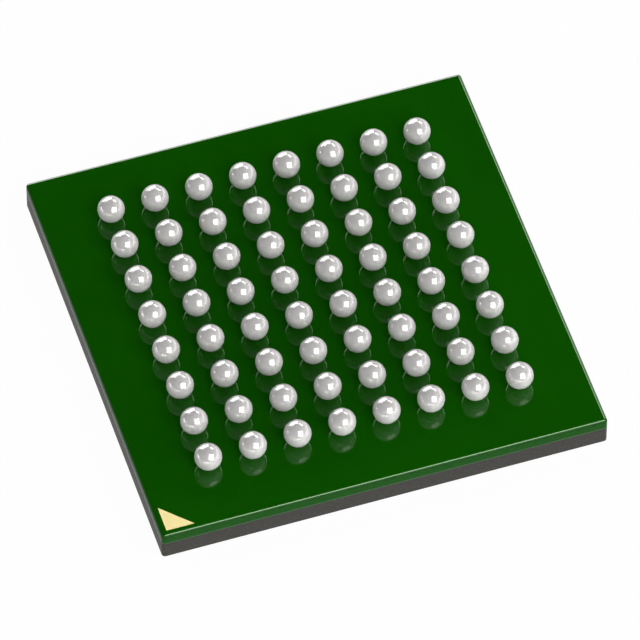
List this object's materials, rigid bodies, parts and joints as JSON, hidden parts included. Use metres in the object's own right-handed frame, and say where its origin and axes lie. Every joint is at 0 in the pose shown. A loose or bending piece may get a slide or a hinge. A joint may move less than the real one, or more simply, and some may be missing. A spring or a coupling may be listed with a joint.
{
  "type": "ball grid array chip package",
  "caption": "Low square chip package lying on its moulded lid, with a grid of round solder balls on a green board for soldering the chip to a circuit board.",
  "frame": {"origin": "middle of the lid's flat face, on which the package lies", "axes": "+X along a row of balls, from ball 1 to ball 8; +Y from row A to row H; +Z out of the lid's face towards the ball side"},
  "size_m": [0.01, 0.01, 0.0013],
  "materials": {
    "moulding_epoxy": "satin moulded epoxy filled with fine silica",
    "silicon": "polished silicon",
    "die_film": "cured adhesive film",
    "bond_gold": "drawn gold wire",
    "finger_gold": "soft gold plating",
    "solder_mask": "glossy cured resin",
    "glass_epoxy": "sawn glass fibre laminate",
    "marker_gold": "pale gold flash",
    "pad_copper": "plated copper",
    "solder": "bright reflowed solder"
  },
  "bodies": {
    "root": {"mould_cap": "moulding_epoxy", "silicon_die": "silicon", "die_attach_film": "die_film", "bond_wires_right": "bond_gold", "bond_wires_back": "bond_gold", "bond_wires_left": "bond_gold", "bond_wires_front": "bond_gold", "bond_fingers": "finger_gold", "die_side_mask": "solder_mask", "laminate_core": "glass_epoxy", "ball_side_mask": "solder_mask", "first_pin_marker": "marker_gold", "ball_pads": "pad_copper", "solder_balls_row_a": "solder", "solder_balls_row_b": "solder", "solder_balls_row_c": "solder", "solder_balls_row_d": "solder", "solder_balls_row_e": "solder", "solder_balls_row_f": "solder", "solder_balls_row_g": "solder", "solder_balls_row_h": "solder"}
  },
  "joints": []
}
